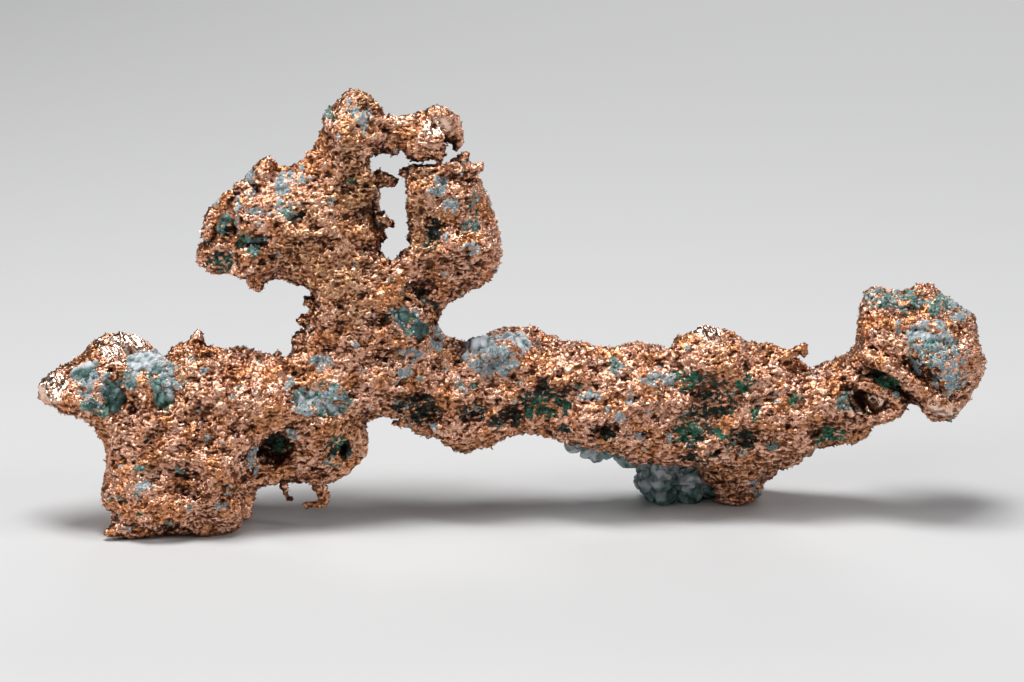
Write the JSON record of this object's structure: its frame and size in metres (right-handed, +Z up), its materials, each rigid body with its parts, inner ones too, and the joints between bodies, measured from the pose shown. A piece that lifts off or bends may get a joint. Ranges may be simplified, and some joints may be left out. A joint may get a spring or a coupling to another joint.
{
  "type": "native copper nugget",
  "caption": "Branching native copper specimen: a crinkled mass with a tall fin, a long arm and pale blue-green calcite in its hollows, standing on its own feet.",
  "frame": {"origin": "on the ground, under the middle of the nugget's bounding box", "axes": "+X along the nugget's length from the square block to the round head, -Y out of the broad side that carries most of the calcite, +Z up"},
  "size_m": [0.0951, 0.0212, 0.0445],
  "materials": {
    "copper": "bright native copper, crinkled and hackly, brown and green in its hollows",
    "calcite": "pale blue-grey granular calcite, waxy",
    "stained_calcite": "calcite stained sea green by copper salts"
  },
  "bodies": {
    "root": {"copper": "copper", "calcite_snout": "stained_calcite", "calcite_shoulder": "calcite", "calcite_lower_lobe": "calcite", "calcite_neck": "stained_calcite", "calcite_bar": "calcite", "calcite_head": "calcite", "calcite_under_bar": "calcite", "calcite_behind_foot": "calcite"}
  },
  "joints": []
}
